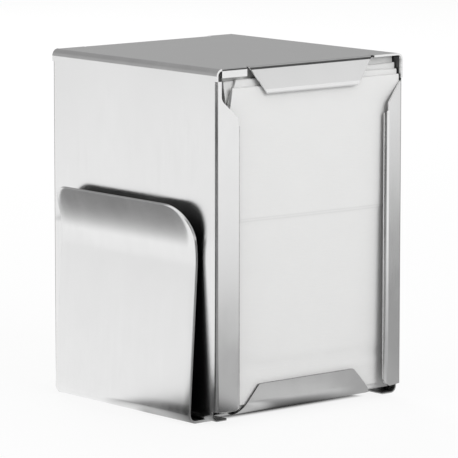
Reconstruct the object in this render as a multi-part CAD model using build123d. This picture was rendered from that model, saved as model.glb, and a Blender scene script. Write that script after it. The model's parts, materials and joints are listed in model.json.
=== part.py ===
from build123d import *

import math
import os

os.makedirs("parts", exist_ok=True)

# A two-sided table napkin holder, folded from thin stainless sheet, with a card clip on its left.
# Millimetres. X runs to the right, Y from the front window to the rear one, Z up from the table.
# The pieces are drawn about the middle of the box, and moved to the middle of the whole at the end.

# The paper napkins, nearly square, each folded lengthwise and then down over itself
napkin_across = 167.0
napkin_cut = 170.0
napkin_half_thick = 0.55
napkin_thick = 1.15
napkin_pitch = 1.2
napkin_count = 18
loose_napkins = 4
napkin_side_gap = 3.45
napkin_shift = 3.05
napkin_lean = 1.05
napkin_lift = 0.1
napkin_roof_gap = 0.75
napkin_inset = 3.0
first_fold_drop = 6.2
second_fold_drop = 3.8
third_fold_drop = 2.9

# The box: one folded sheet
sheet = 0.8
body_height = 130.7
foot_height = 1.3
roof_bend = 2.6
base_bend = 2.6
base_flange = 7.0
base_setback = 2.7

# The four upright flanges that hold the napkins in, bent a little less than square
corner_bend = 1.4
flange_turn = 75.0
flange_width = 10.2
flange_lip_bend = 1.5
flange_lip_end = 0.3
flange_lip_open = 14.0
flange_raise = 4.0
flange_top_gap = 9.4
flange_chamfer = 10.2
flange_corner = 3.5
flange_lip_drop = 4.5
left_neck_width = 2.2
left_neck_top_gap = 4.6

# The roof's tab over each window
roof_tab_in = 15.6
roof_tab_taper = 8.9
roof_tab_drop = 10.7
roof_tab_bend = 1.5
roof_tab_lean = 8.0
roof_tab_curl = 26.0
roof_tab_curl_radius = 4.0
roof_tab_notch = 1.0
left_strip_bend = 1.0
left_strip_drop = 3.4
tab_corner = 1.4

# The floor plate and its upturned tabs
floor_side_gap = 0.2
floor_tab_in = 12.3
floor_tab_taper = 10.2
floor_tab_rise = 11.1
floor_tab_bend = 5.0
floor_tab_inset = 2.0

# Rubber feet, stuck under the floor plate
foot_radius = 4.5
foot_edge = 0.7
foot_in_x = 21.0
foot_in_y = 21.0

# The card clip: a springy leaf on a foot under the left flange
clip_sheet = 1.0
clip_front_inset = 9.2
clip_rear_inset = 8.2
clip_height = 79.4
clip_front_corner = 14.0
clip_rear_corner = 7.0
clip_neck_gap = 1.3
clip_slope = 3.6
clip_flare = 25.0
clip_flare_radius = 46.0
clip_bend = 3.5
clip_foot_reach = 6.7
clip_split = 0.1

# The pushers, shallow pans that press each stack against its window
pusher_side_gap = 0.6
pusher_floor_gap = 0.3
pusher_roof_gap = 1.2
pusher_lip = 6.0
pusher_bend = 1.6
pusher_clearance = 0.3
spare_napkins = 8

# The fixed divider that the springs push against
divider_lip = 7.4
divider_bend = 1.6
divider_stop_gap = 0.6

# Springs, their turned seats, and the rivets through them
spring_radius = 5.5
spring_wire = 0.9
spring_turns = 6
spring_end_gap = 0.15
spring_spacing = 58.0
seat_radius = 8.0
seat_flange = 0.8
spigot_radius = 4.6
spigot_height = 3.2
rivet_radius = 1.5
rivet_clearance = 0.05
rivet_head_radius = 2.8
rivet_head = 0.5

# The box is as wide as a folded napkin needs, and as deep as two stacks and their springs
pusher_travel = spare_napkins * napkin_pitch
stack_depth = napkin_count * napkin_pitch
pusher_seat = napkin_inset + stack_depth + rivet_head + pusher_clearance
spring_bay = pusher_travel + (pusher_lip - sheet) + (divider_lip - sheet) + divider_stop_gap
half_width = napkin_across / 4 + napkin_side_gap + sheet
half_depth = pusher_seat + sheet + spring_bay + sheet / 2
body_width = 2 * half_width

# Heights and planes that the sizes above give
body_low = foot_height
body_top = body_low + body_height
floor_low = body_low + sheet
floor_top = floor_low + sheet
roof_under = body_top - sheet
flange_low = body_low + flange_raise
flange_top = body_top - flange_top_gap
left_neck_top = body_top - left_neck_top_gap
front = -half_depth
roof_tab_root = body_width - 2 * roof_tab_in
roof_tab_tip = roof_tab_root - 2 * roof_tab_taper
floor_tab_root = body_width - 2 * floor_tab_in
floor_tab_tip = floor_tab_root - 2 * floor_tab_taper
inner_half_width = half_width - sheet
floor_half_width = half_width - base_bend - floor_side_gap
pusher_face = front + pusher_seat
pusher_back = pusher_face + sheet
pusher_half_width = inner_half_width - pusher_side_gap
pusher_low = floor_top + pusher_floor_gap
pusher_high = roof_under - pusher_roof_gap
spring_middle = (floor_top + roof_under) / 2
spring_heights = [spring_middle - spring_spacing / 2, spring_middle + spring_spacing / 2]
spring_room = spring_bay - 2 * seat_flange


def heading_vector(degrees):
    return Vector(math.cos(math.radians(degrees)), math.sin(math.radians(degrees)))


def run(length):
    return ("run", length)


def bend(radius, turn):
    return ("bend", radius, turn)


def folded(start, heading, legs, thickness):
    """A bent sheet seen edge-on: its skin leaves start along heading, with the metal on the left.

    Bends give the skin's radius and a turn in degrees, to the left where it is positive.
    """
    skin, back = [], []
    point = Vector(*start)
    first_left = heading_vector(heading + 90)
    for leg in legs:
        left = heading_vector(heading + 90)
        if leg[0] == "run":
            end = point + heading_vector(heading) * leg[1]
            skin.append(Line(point, end))
            back.append(Line(point + left * thickness, end + left * thickness))
        else:
            radius, turn = leg[1], leg[2]
            side = math.copysign(1, turn)
            centre = point + left * side * radius
            middle_out = heading_vector(heading + turn / 2 - 90) * side
            end_out = heading_vector(heading + turn - 90) * side
            start_out = left * -side
            inner = radius - side * thickness
            end = centre + end_out * radius
            skin.append(ThreePointArc(point, centre + middle_out * radius, end))
            back_points = [centre + out * inner for out in (start_out, middle_out, end_out)]
            back.append(ThreePointArc(*back_points))
            heading += turn
        point = end
    last_left = heading_vector(heading + 90)
    caps = [
        Line(Vector(*start), Vector(*start) + first_left * thickness),
        Line(point, point + last_left * thickness),
    ]
    return make_face(skin + back + caps)


def outline(points, rounding):
    """A flat outline with straight sides. rounding gives the radius of a corner by its number."""
    face = make_face(Polyline(*points, close=True))
    for number, radius in rounding.items():
        corner = face.vertices().sort_by_distance(Vector(*points[number]))[0]
        face = fillet(corner, radius)
    return face


def along_x(face, low, high):
    """Draws a face of Y and Z out from x = low to x = high."""
    return extrude(Plane((low, 0, 0), x_dir=(0, 1, 0), z_dir=(1, 0, 0)) * face, amount=high - low)


def along_y(face, low, high):
    """Draws a face of X and Z out from y = low to y = high."""
    return extrude(Plane((0, high, 0), x_dir=(1, 0, 0), z_dir=(0, -1, 0)) * face, amount=high - low)


def along_z(face, low, high):
    """Draws a face of X and Y out from z = low to z = high."""
    return extrude(Plane((0, 0, low)) * face, amount=high - low)


def block(x, y, z):
    """A box between the two limits given for each axis."""
    size = [limits[1] - limits[0] for limits in (x, y, z)]
    centre = [(limits[1] + limits[0]) / 2 for limits in (x, y, z)]
    return Pos(*centre) * Box(*size)


def to_rear(piece):
    """The same piece at the rear window."""
    return mirror(piece, about=Plane.XZ)


def to_right(piece):
    """The same piece on the right side."""
    return mirror(piece, about=Plane.YZ)


def flange_on_left(has_neck):
    """A front flange on the left: round the corner, across, and a lip curled inwards.

    With a neck, a narrow strip of it goes on up to the roof's bend. The lip's top end runs down slanting.
    """
    leaving = math.radians(90 - flange_turn)
    corner_part = corner_bend * (1 - math.sin(leaving))
    lip_part = flange_lip_bend * (math.cos(math.radians(flange_lip_open)) + math.sin(leaving))
    across = (flange_width - corner_part - lip_part) / math.cos(leaving)
    plan = folded(
        (-half_width, front + corner_bend),
        270,
        [
            bend(corner_bend, flange_turn),
            run(across),
            bend(flange_lip_bend, 180 - flange_turn - flange_lip_open),
            run(flange_lip_end),
        ],
        sheet,
    )
    outside = -half_width - corner_bend
    inside = -half_width + flange_width
    chamfer_low = flange_top - flange_chamfer
    neck = -half_width + left_neck_width
    corners = [(outside, flange_low), (inside, flange_low), (inside, chamfer_low)]
    rounding = {1: flange_corner, 2: flange_corner}
    if has_neck:
        top = left_neck_top
        corners += [(neck, chamfer_low + inside - neck), (neck, top), (outside, top)]
        rounding[3] = flange_corner
    else:
        top = flange_top
        corners += [(-half_width, top), (outside, top)]
    reach = flange_width + corner_bend
    flange = along_z(plan, flange_low, top)
    flange = flange & along_y(outline(corners, rounding), front - reach, front + reach)
    lip_front = front - across * math.sin(leaving) - lip_part
    lip_back = front + lip_part
    slant = [
        (lip_front, chamfer_low),
        (lip_back, chamfer_low - flange_lip_drop),
        (lip_back, top + sheet),
        (lip_front, top + sheet),
    ]
    return flange - along_x(outline(slant, {}), inside - flange_lip_bend, inside + sheet)


def roof_tab():
    """The front tab that the roof turns down over the window, curled in at its edge."""
    lean = math.radians(roof_tab_lean)
    curl_drop = roof_tab_curl_radius * math.sin(math.radians(roof_tab_curl))
    straight = (roof_tab_drop - roof_tab_bend - curl_drop) / math.cos(lean)
    profile = folded(
        (front + roof_tab_bend, body_top),
        180,
        [
            bend(roof_tab_bend, 90 - roof_tab_lean),
            run(straight),
            bend(roof_tab_curl_radius, roof_tab_curl),
        ],
        sheet,
    )
    low = body_top - roof_tab_drop - sheet
    shape = outline(
        [
            (-roof_tab_root / 2, body_top),
            (roof_tab_root / 2, body_top),
            (roof_tab_tip / 2, low),
            (-roof_tab_tip / 2, low),
        ],
        {2: tab_corner, 3: tab_corner},
    )
    whole = along_x(profile, -roof_tab_root / 2, roof_tab_root / 2)
    return whole & along_y(shape, front - roof_tab_drop, front + roof_tab_bend)


def left_strip():
    """The roof's front edge on the left of the tab, bent down into a narrow strip."""
    legs = [bend(left_strip_bend, 90), run(left_strip_drop - left_strip_bend)]
    profile = folded((front + left_strip_bend, body_top), 180, legs, sheet)
    return along_x(profile, roof_bend - half_width, -roof_tab_root / 2 - roof_tab_notch)


def make_shell():
    """Roof, side walls, bottom flanges, upright flanges and roof tabs, all one sheet."""
    section = folded(
        (half_width - base_flange, body_low),
        0,
        [
            run(base_flange - base_bend),
            bend(base_bend, 90),
            run(body_height - base_bend - roof_bend),
            bend(roof_bend, 90),
            run(body_width - 2 * roof_bend),
            bend(roof_bend, 90),
            run(body_height - base_bend - roof_bend),
            bend(base_bend, 90),
            run(base_flange - base_bend),
        ],
        sheet,
    )
    shell = along_y(section, -half_depth, half_depth)
    wide = (-body_width, body_width)
    bottom_relief = block(wide, (front - sheet, front + base_setback), (0, flange_low))
    edge = (front - sheet, front + corner_bend)
    left_relief = block((-body_width, 0), edge, (flange_low, left_neck_top))
    right_relief = block((0, body_width), edge, (flange_low, flange_top))
    tab_end = roof_tab_root / 2 + roof_tab_notch
    above = (roof_under - sheet, body_top + sheet)
    tab_relief = block((-tab_end, tab_end), (front - sheet, front + roof_tab_bend), above)
    notch_back = front + roof_tab_bend + roof_tab_notch
    notch = block((roof_tab_root / 2, tab_end), (front - sheet, notch_back), above)
    strip_relief = block((roof_bend - half_width, -tab_end), (front - sheet, front + left_strip_bend), above)
    cuts = [bottom_relief, left_relief, right_relief, tab_relief, strip_relief, notch, to_right(notch)]
    for cut in cuts:
        shell = shell - cut - to_rear(cut)
    for piece in (flange_on_left(True), to_right(flange_on_left(False)), roof_tab(), left_strip()):
        shell = shell + piece + to_rear(piece)
    return shell


def make_floor():
    """The plate on the bottom flanges, with a tab turned up at each window."""
    tab_face = front + floor_tab_inset
    bend_end = tab_face + floor_tab_bend
    rise = floor_tab_rise - floor_tab_bend
    profile = folded(
        (tab_face, floor_low + floor_tab_rise),
        270,
        [
            run(rise),
            bend(floor_tab_bend, 90),
            run(-2 * bend_end),
            bend(floor_tab_bend, 90),
            run(rise),
        ],
        sheet,
    )
    shape = outline(
        [
            (-floor_tab_root / 2, floor_low),
            (floor_tab_root / 2, floor_low),
            (floor_tab_tip / 2, floor_low + floor_tab_rise),
            (-floor_tab_tip / 2, floor_low + floor_tab_rise),
        ],
        {2: tab_corner, 3: tab_corner},
    )
    tabbed = along_x(profile, -floor_tab_root / 2, floor_tab_root / 2)
    tabbed = tabbed & along_y(shape, -half_depth, half_depth)
    sides = (-floor_half_width, floor_half_width)
    return tabbed + block(sides, (bend_end, -bend_end), (floor_low, floor_top))


def make_feet():
    """Four round pads from the floor plate down to the table."""
    pad = Pos(0, 0, floor_low / 2) * Cylinder(foot_radius, floor_low)
    pad = chamfer(pad.edges().sort_by(Axis.Z)[0], foot_edge)
    x, y = half_width - foot_in_x, half_depth - foot_in_y
    return Part() + [Pos(sx * x, sy * y, 0) * pad for sx in (-1, 1) for sy in (-1, 1)]


clip_neck_out = clip_neck_gap + clip_sheet
clip_reach = clip_neck_out + clip_flare_radius * (1 - math.cos(math.radians(clip_flare)))
clip_top_z = body_low + clip_height
clip_foot_low = body_low - clip_sheet
clip_front = front + clip_front_inset
clip_rear = half_depth - clip_rear_inset


def clip_lengths():
    """Where the leaf's straight stretch ends at the bottom, and how long it is."""
    slope = math.radians(clip_slope)
    flare = math.radians(clip_flare)
    arc_drop = clip_flare_radius * (math.sin(flare) + math.sin(slope))
    bend_start = clip_foot_low + clip_bend * (1 + math.sin(slope))
    straight = (clip_top_z - arc_drop - bend_start) / math.cos(slope)
    arc_in = clip_flare_radius * (math.cos(slope) - math.cos(flare))
    bend_start_x = -half_width - clip_reach + arc_in - straight * math.sin(slope)
    return bend_start, bend_start_x, straight


clip_bend_z, clip_bend_x, clip_straight = clip_lengths()


def make_clip_leaf():
    """The upright leaf: flared at its top edge, close to the wall at its neck."""
    profile = folded(
        (-half_width - clip_reach, clip_top_z),
        270 + clip_flare,
        [
            bend(clip_flare_radius, -clip_flare - clip_slope),
            run(clip_straight - clip_split),
        ],
        clip_sheet,
    )
    above = clip_top_z + clip_sheet
    shape = outline(
        [(clip_front, 0), (clip_rear, 0), (clip_rear, above), (clip_front, above)],
        {2: clip_rear_corner, 3: clip_front_corner},
    )
    return along_y(profile, clip_front, clip_rear) & along_x(shape, -body_width, -half_width)


def make_clip_foot():
    """The clip's bottom bend and the leg that is welded under the left flange."""
    slope = math.radians(clip_slope)
    bend_end_x = clip_bend_x + clip_bend * math.cos(slope)
    profile = folded(
        (clip_bend_x, clip_bend_z),
        270 - clip_slope,
        [bend(clip_bend, 90 + clip_slope), run(clip_foot_reach - half_width - bend_end_x)],
        clip_sheet,
    )
    return along_y(profile, clip_front, clip_rear)


def channel(lip, length, radius):
    """A sheet seen edge-on with a lip at each end: X is across the sheet, Y is along it."""
    return folded(
        (lip, length / 2),
        180,
        [
            run(lip - radius),
            bend(radius, 90),
            run(length - 2 * radius),
            bend(radius, 90),
            run(lip - radius),
        ],
        sheet,
    )


def rivet_hole(y):
    """A drill through a sheet at y, at each spring."""
    drill = Rot(90, 0, 0) * Cylinder(rivet_radius + rivet_clearance, 4 * sheet)
    return Part() + [Pos(0, y, z) * drill for z in spring_heights]


def make_divider():
    """The fixed sheet in the middle, welded to the floor and roof by its lips."""
    length = roof_under - floor_top
    middle = (roof_under + floor_top) / 2
    face = Pos(-sheet / 2, middle) * channel(divider_lip, length, divider_bend)
    divider = along_x(face, -floor_half_width, floor_half_width)
    return divider - rivet_hole(0)


def make_pusher():
    """The front pusher: a shallow pan whose four lips point inwards and slide along the box."""
    height = pusher_high - pusher_low
    middle = (pusher_high + pusher_low) / 2
    upright = Pos(pusher_face, middle) * channel(pusher_lip, height, pusher_bend)
    side = pusher_half_width - pusher_bend
    pan = along_x(upright, -side, side)
    level = channel(pusher_lip, 2 * pusher_half_width, pusher_bend)
    level = Pos(0, pusher_face) * Rot(0, 0, 90) * level
    pan = pan + along_z(level, pusher_low + pusher_bend, pusher_high - pusher_bend)
    return pan - rivet_hole((pusher_face + pusher_back) / 2)


def make_seat(y, z, towards):
    """A turned seat whose flange lies on the face at y, its spigot pointing towards + or - Y."""
    flange = Cylinder(seat_radius, seat_flange)
    spigot = Pos(0, 0, (seat_flange + spigot_height) / 2) * Cylinder(spigot_radius, spigot_height)
    spigot = chamfer(spigot.edges().sort_by(Axis.Z)[-1], rivet_head)
    drill = Cylinder(rivet_radius + rivet_clearance, 4 * (seat_flange + spigot_height))
    seat = flange + spigot - drill
    return Pos(0, y + towards * seat_flange / 2, z) * Rot(-90 * towards, 0, 0) * seat


def make_rivets(low, high):
    """Rivets at both springs, with a flat head at each end, holding what lies from low to high."""
    shank = Cylinder(rivet_radius, high - low)
    head = Cylinder(rivet_head_radius, rivet_head)
    lift = (high - low + rivet_head) / 2
    rivet = Rot(90, 0, 0) * (shank + Pos(0, 0, lift) * head + Pos(0, 0, -lift) * head)
    return Part() + [Pos(0, (low + high) / 2, z) * rivet for z in spring_heights]


def make_spring(z):
    """A front spring, from the pusher's seat to the divider's."""
    length = spring_room - 2 * spring_end_gap - spring_wire
    coil = Helix(length / spring_turns, length, spring_radius)
    wire = Plane(coil @ 0, z_dir=coil % 0) * Circle(spring_wire / 2)
    start = pusher_back + seat_flange + spring_end_gap + spring_wire / 2
    return Pos(0, start, z) * Rot(-90, 0, 0) * sweep(wire, path=coil)


def floor_under(inset):
    """How high the floor's upper face is at a distance behind the front plane, in the tab's bend."""
    into_bend = floor_tab_inset + floor_tab_bend - inset
    inner = floor_tab_bend - sheet
    if into_bend <= 0:
        return floor_top
    return floor_low + floor_tab_bend - math.sqrt(inner**2 - min(into_bend, inner) ** 2)


def fold_top(number):
    """The first few were folded a little low; the rest reach just under the roof."""
    drops = [first_fold_drop, second_fold_drop, third_fold_drop]
    drop = drops[number] if number < len(drops) else 0
    return roof_under - napkin_roof_gap - drop


def make_napkin(number):
    """A folded napkin in the front stack, counted from the window, its flap towards the window.

    The flaps make the stack thicker at its top, so the first napkins lean out and the last is upright.
    """
    inset = napkin_inset + number * napkin_pitch
    low = floor_under(inset) + napkin_lift
    height = fold_top(number) - low
    fold = napkin_thick / 2
    lean = napkin_lean * (1 - number / (napkin_count - 1))
    profile = folded(
        (front + inset + napkin_thick, low),
        90 + lean,
        [run(height - fold), bend(fold, 180), run(napkin_cut - height - fold)],
        napkin_half_thick,
    )
    return along_x(profile, napkin_shift - napkin_across / 4, napkin_shift + napkin_across / 4)


def write(name, piece):
    """Moves a piece to the middle of the whole object and writes it."""
    export_step(Pos(clip_reach / 2, 0, 0) * piece, f"parts/{name}.step")


def write_stack(side, place):
    """The loose napkins that show, one by one, and the packed ones behind them as a group."""
    for number in range(loose_napkins):
        write(f"{side}_napkin_{number + 1}", place(make_napkin(number)))
    packed = [place(make_napkin(number)) for number in range(loose_napkins, napkin_count)]
    write(f"{side}_napkin_stack", Part() + packed)


def write_spring_set(side, place):
    """A pusher with its seats, rivets and springs, and the seats that face it on the divider."""
    write(f"{side}_pusher", place(make_pusher()))
    held = pusher_back + seat_flange + spigot_height
    write(f"{side}_pusher_rivets", place(make_rivets(pusher_face, held)))
    for level, z in zip(("lower", "upper"), spring_heights):
        write(f"{side}_{level}_spring", place(make_spring(z)))
        write(f"{side}_{level}_pusher_seat", place(make_seat(pusher_back, z, 1)))
        write(f"{side}_{level}_divider_seat", place(make_seat(-sheet / 2, z, -1)))


def main():
    write("shell", make_shell())
    write("floor_plate", make_floor())
    write("rubber_feet", make_feet())
    write("clip_leaf", make_clip_leaf())
    write("clip_foot", make_clip_foot())
    write("divider", make_divider())
    held = sheet / 2 + seat_flange + spigot_height
    write("divider_rivets", make_rivets(-held, held))
    for side, place in (("front", lambda piece: piece), ("rear", to_rear)):
        write_stack(side, place)
        write_spring_set(side, place)


main()
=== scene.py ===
"""Dresses the two-sided table napkin holder: satin steel, card clip, paper napkins, springs, feet.

Lengths are metres in the CAD model's frame: X to the right, Y from the front window to the rear one
and Z up from the table. What the CAD model settles is read from the boxes of its nodes.
"""

import json
import logging
import math
from dataclasses import dataclass
from enum import Enum
from typing import ClassVar, Iterator

import bmesh
import bpy
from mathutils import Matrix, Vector


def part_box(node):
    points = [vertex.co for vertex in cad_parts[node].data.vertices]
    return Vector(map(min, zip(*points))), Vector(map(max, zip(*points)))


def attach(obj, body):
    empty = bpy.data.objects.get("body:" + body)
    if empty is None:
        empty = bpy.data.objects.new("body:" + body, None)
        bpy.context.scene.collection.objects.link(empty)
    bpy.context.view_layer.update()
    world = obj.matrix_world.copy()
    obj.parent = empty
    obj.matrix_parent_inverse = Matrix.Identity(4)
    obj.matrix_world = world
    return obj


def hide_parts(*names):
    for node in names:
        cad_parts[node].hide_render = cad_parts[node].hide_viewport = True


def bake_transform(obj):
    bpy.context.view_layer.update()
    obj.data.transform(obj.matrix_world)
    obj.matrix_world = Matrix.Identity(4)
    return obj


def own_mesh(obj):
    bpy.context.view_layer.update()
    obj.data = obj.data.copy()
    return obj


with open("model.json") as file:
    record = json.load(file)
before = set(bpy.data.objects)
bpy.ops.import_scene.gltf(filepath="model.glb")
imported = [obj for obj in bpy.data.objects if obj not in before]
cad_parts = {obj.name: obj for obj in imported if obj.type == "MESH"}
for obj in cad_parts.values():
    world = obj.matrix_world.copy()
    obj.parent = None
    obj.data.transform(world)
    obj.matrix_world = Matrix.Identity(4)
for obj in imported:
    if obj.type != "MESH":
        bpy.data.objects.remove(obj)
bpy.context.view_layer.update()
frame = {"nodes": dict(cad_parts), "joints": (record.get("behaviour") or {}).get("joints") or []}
log = logging.getLogger("napkin_holder")

MM = 0.001
# The flat napkin, to its cut edge
SHEET_LENGTH = 168.0 * MM
Value = "Wire | float | int | tuple | bpy.types.Material"


class Wire:
    """A node's output that takes part in sums: each operation on it adds a Math node."""

    def __init__(self, graph: "Graph", socket: bpy.types.NodeSocket) -> None:
        """Keeps the tree that new nodes go into, and the socket."""
        self.graph = graph
        self.socket = socket

    def output(self, name: str | int) -> "Wire":
        """Another output of the node that this one comes from."""
        return Wire(self.graph, self.socket.node.outputs[name])

    def math(self, operation: str, *others: Value) -> "Wire":
        """Adds a Math node with this output as its first value."""
        return self.graph.math(operation, self, *others)

    def __add__(self, other: Value) -> "Wire":
        """This output plus another value."""
        return self.math("ADD", other)

    def __sub__(self, other: Value) -> "Wire":
        """This output less another value."""
        return self.math("SUBTRACT", other)

    def __mul__(self, other: Value) -> "Wire":
        """This output times another value."""
        return self.math("MULTIPLY", other)

    def __truediv__(self, other: Value) -> "Wire":
        """This output divided by another value."""
        return self.math("DIVIDE", other)

    def __rsub__(self, other: Value) -> "Wire":
        """A number less this output."""
        return self.graph.math("SUBTRACT", other, self)

    def __neg__(self) -> "Wire":
        """This output with its sign turned."""
        return self.math("MULTIPLY", -1.0)

    def __abs__(self) -> "Wire":
        """This output's size without its sign."""
        return self.math("ABSOLUTE")

    def least(self, other: Value) -> "Wire":
        """The smaller of two values."""
        return self.math("MINIMUM", other)

    def most(self, other: Value) -> "Wire":
        """The larger of two values."""
        return self.math("MAXIMUM", other)

    def between(self, low: Value, high: Value) -> "Wire":
        """This output, kept from low to high."""
        return self.most(low).least(high)

    def diagonal(self, other: "Wire") -> "Wire":
        """How far a point is from the middle, by how far it is along this output and the other."""
        return (self * self + other * other).math("SQRT")

    def smooth(self, low: float, high: float) -> "Wire":
        """A soft step from 0 at low to 1 at high. High may be the smaller one."""
        ends = {0: self, 1: low, 2: high, 3: 0.0, 4: 1.0}
        if high < low:
            ends = {0: self, 1: high, 2: low, 3: 1.0, 4: 0.0}
        return self.graph.node("ShaderNodeMapRange", {"interpolation_type": "SMOOTHSTEP"}, ends)

    __radd__ = __add__
    __rmul__ = __mul__


class Graph:
    """A node tree that is being built, for a material, the world or a shape."""

    def __init__(self, tree: bpy.types.NodeTree) -> None:
        """Starts with the tree as it is."""
        self.tree = tree

    @staticmethod
    def emptied(owner: bpy.types.Material | bpy.types.World) -> "Graph":
        """The tree of a material or the world, without the nodes that it starts with."""
        owner.use_nodes = True
        owner.node_tree.nodes.clear()
        return Graph(owner.node_tree)

    def node(
        self,
        kind: str,
        settings: dict[str, object] | None = None,
        inputs: dict[int | str, Value] | None = None,
        output: int | str = 0,
    ) -> Wire:
        """Adds one node.

        Args:
            kind: The node's type.
            settings: Its own settings, which are set first.
            inputs: Values or wires for its sockets, by name or number.
            output: The output that is returned.

        Returns:
            The node's output.
        """
        made = self.tree.nodes.new(kind)
        for name, value in (settings or {}).items():
            setattr(made, name, value)
        for name, value in (inputs or {}).items():
            if isinstance(value, Wire):
                self.tree.links.new(value.socket, made.inputs[name])
            else:
                made.inputs[name].default_value = value
        return Wire(self, made.outputs[output] if len(made.outputs) else None)

    def math(self, operation: str, *values: Value) -> Wire:
        """Adds a Math node."""
        return self.node("ShaderNodeMath", {"operation": operation}, dict(enumerate(values)))

    def vector(self, operation: str, *values: Value) -> Wire:
        """Adds a Vector Math node."""
        return self.node("ShaderNodeVectorMath", {"operation": operation}, dict(enumerate(values)))

    def combine(self, x: Value, y: Value, z: Value) -> Wire:
        """Makes a vector of three values."""
        return self.node("ShaderNodeCombineXYZ", None, {0: x, 1: y, 2: z})

    def split(self, vector: Wire) -> tuple[Wire, Wire, Wire]:
        """The X, Y and Z of a vector."""
        x = self.node("ShaderNodeSeparateXYZ", None, {0: vector})
        return x, x.output(1), x.output(2)

    def coordinates(self, kind: str = "Object") -> Wire:
        """The place on the piece in metres, or by another kind, such as the way that it faces."""
        return self.node("ShaderNodeTexCoord", output=kind)

    def ray(self, kind: str) -> Wire:
        """1 for the rays of one kind, 0 for the others."""
        return self.node("ShaderNodeLightPath", output=f"Is {kind} Ray")

    def noise(self, place: Wire, stretch: float | tuple[float, ...], detail: float = 2.0) -> Wire:
        """Soft noise from 0 to 1, with about stretch waves in a metre, along all axes or along each."""
        stretch = (stretch,) * 3 if isinstance(stretch, float) else stretch
        stretched = self.vector("MULTIPLY", place, stretch)
        return self.node(
            "ShaderNodeTexNoise", None, {"Vector": stretched, "Scale": 1.0, "Detail": detail}
        )

    def mix(self, share: Value, first: Value, second: Value) -> Wire:
        """A number that goes from first to second as share goes from 0 to 1."""
        return self.node("ShaderNodeMix", {"data_type": "FLOAT"}, {0: share, 2: first, 3: second})


class Grain(Enum):
    """Which way a sheet's grain crosses: the stretch of its noise along X, Y and Z."""

    ACROSS_X = (1.0, 0.02, 0.02)
    ACROSS_Y = (0.02, 1.0, 0.02)
    ACROSS_Z = (0.02, 0.02, 1.0)

    def over(self, pitch: float) -> tuple[float, ...]:
        """The stretch in each metre, for lines that lie a pitch apart."""
        return tuple(share / pitch for share in self.value)


@dataclass(frozen=True)
class Finish:
    """What all finishes share.

    Attributes:
        OTHERS: The shader's other plain values.
        name: The material's name.
        colour: Its plain colour.
        roughness: How matt it is, from 0 to 1.
        level: How bright it is on the whole, next to its plain colour.
        shades: How much each kind of mark in turn changes its brightness.
        matts: How much each changes its roughness.
    """

    OTHERS: ClassVar[dict[str, float]] = {}

    name: str
    colour: tuple[float, float, float]
    roughness: float
    level: float = 1.0
    shades: tuple[float, ...] = ()
    matts: tuple[float, ...] = ()

    def marks(self, graph: Graph) -> tuple[Wire, Wire, Wire]:
        """The marks on it: its brightness next to the plain colour, its roughness and its height."""
        raise NotImplementedError

    def material(self) -> bpy.types.Material:
        """Makes the material."""
        material = bpy.data.materials.new(self.name)
        graph = Graph.emptied(material)
        plain = {"Base Color": (*self.colour, 1.0), "Roughness": self.roughness, **self.OTHERS}
        surface = graph.node("ShaderNodeBsdfPrincipled", None, plain)
        graph.node("ShaderNodeOutputMaterial", None, {"Surface": surface})
        level, rough, height = self.marks(graph)
        shaded = {0: self.colour, "Scale": level}
        marked = {
            "Base Color": graph.node("ShaderNodeVectorMath", {"operation": "SCALE"}, shaded),
            "Roughness": rough,
            "Normal": graph.node("ShaderNodeBump", None, {"Distance": 1.0, "Height": height}),
        }
        for name, wire in marked.items():
            graph.tree.links.new(wire.socket, surface.socket.node.inputs[name])
        return material

    @staticmethod
    def about(plain: float, shares: tuple[float, ...], *marks: Wire) -> Wire:
        """A plain value that each mark moves by its share, half of it down and half of it up."""
        for share, mark in zip(shares, marks):
            plain = (mark - 0.5) * share + plain
        return plain


@dataclass(frozen=True)
class PaintedShadeSide:
    """Which side of a sheet gets painted shade, darker as if little light reaches it, and the mill
    side's roughness: each mask is 1 there and 0 on the brushed side.
    """

    def mask(self, graph: Graph, place: Wire) -> Wire:
        """The mask at a place on the piece."""
        raise NotImplementedError


@dataclass(frozen=True)
class InsideBox(PaintedShadeSide):
    """The inner side of the folded box and the backs of its flanges, which get painted shade.
        flat_x: From there to where each wall's bends have their centre.
        flat_y: Past this the sheet is a flange, whose back faces away from its window.
        flat_z: The heights of the bends' centres, under the floor and under the roof.
        bend: The bends' radius half way through the sheet.
        edge: How wide the mask's soft edges are.
        away: From where to where a flange counts as facing away, as a cosine.
    """

    middle_x: float
    flat_x: float
    flat_y: float
    flat_z: tuple[float, float]
    bend: float
    edge: float = 0.1 * MM
    away: tuple[float, float] = (-0.1, -0.3)

    def mask(self, graph: Graph, place: Wire) -> Wire:
        """The mask at a place on the box."""
        x, y, z = graph.split(place)
        facing = graph.split(graph.coordinates("Normal"))[1]
        low, high = self.flat_z
        across = (abs(x - self.middle_x) - self.flat_x).most(0.0)
        up = (z - high).most(low - z).most(0.0)
        inner = across.diagonal(up).smooth(self.bend + self.edge, self.bend - self.edge)
        flange = abs(y).smooth(self.flat_y, self.flat_y + self.edge)
        back = (facing * y.math("SIGN")).smooth(*self.away)
        return inner * (1 - flange * (1 - back))


@dataclass(frozen=True)
class FacingSide(PaintedShadeSide):
    """The side of a sheet that faces one way, which gets painted shade.

    Attributes:
        way: The unit vector that way.
        facing: From where to where a surface counts as facing it, as a cosine.
    """

    way: tuple[float, float, float]
    facing: tuple[float, float] = (0.35, 0.55)

    def mask(self, graph: Graph, place: Wire) -> Wire:
        """The mask, from where the surface faces."""
        along = graph.vector("DOT_PRODUCT", graph.coordinates("Normal"), self.way)
        return along.output("Value").smooth(*self.facing)


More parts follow.
